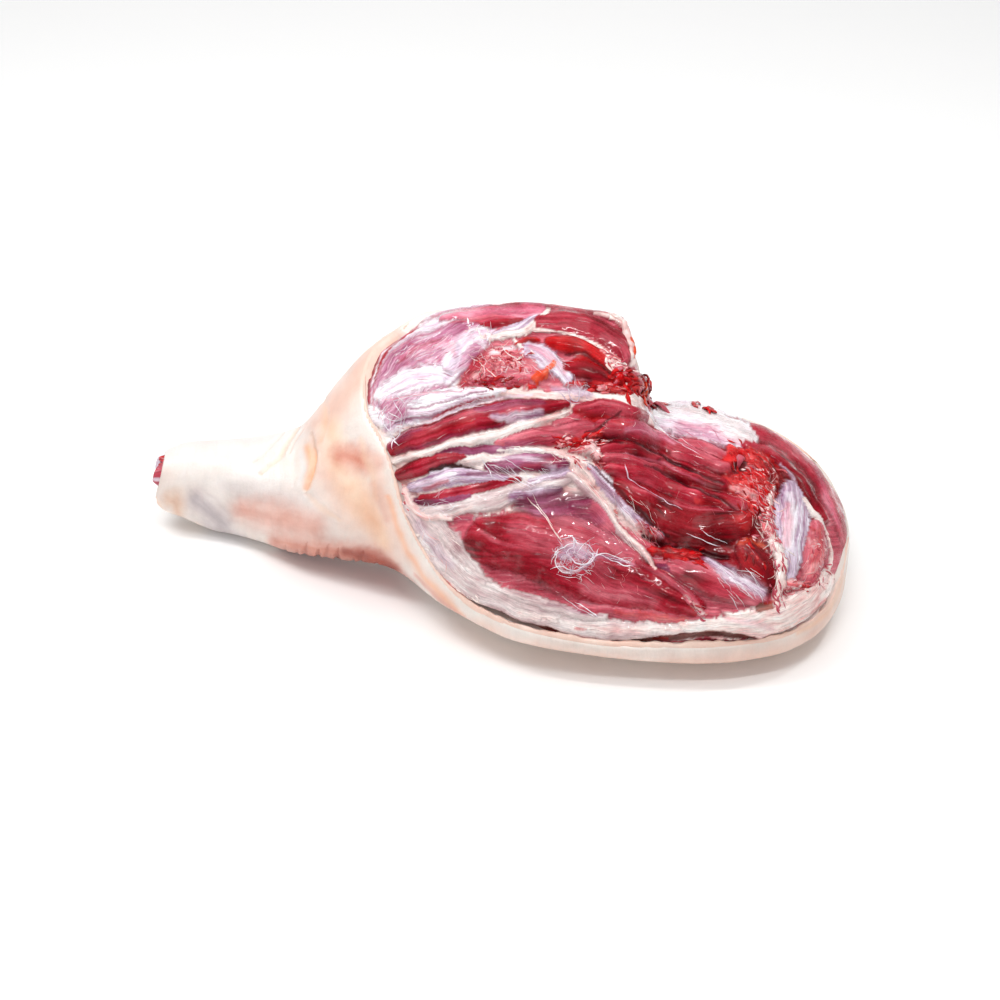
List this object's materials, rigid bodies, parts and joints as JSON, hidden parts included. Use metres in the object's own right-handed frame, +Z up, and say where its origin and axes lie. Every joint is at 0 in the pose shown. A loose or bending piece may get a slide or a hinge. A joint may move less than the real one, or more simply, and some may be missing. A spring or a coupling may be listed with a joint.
{
  "type": "raw pork leg",
  "caption": "Raw bone-in pork leg with the skin on, cut off at the hock, lying on its skin with the cut meat, silverskin and rim fat facing up.",
  "frame": {"origin": "bottom centre of the whole box, on the surface that the leg lies on", "axes": "+X along the leg from the hock to the rump end, -Y the near rim of the cut side, +Z up"},
  "size_m": [0.5692, 0.3024, 0.1983],
  "materials": {
    "pork": "damp raw meat with pale fat and skin"
  },
  "bodies": {
    "root": {"pork_leg": "pork"}
  },
  "joints": []
}
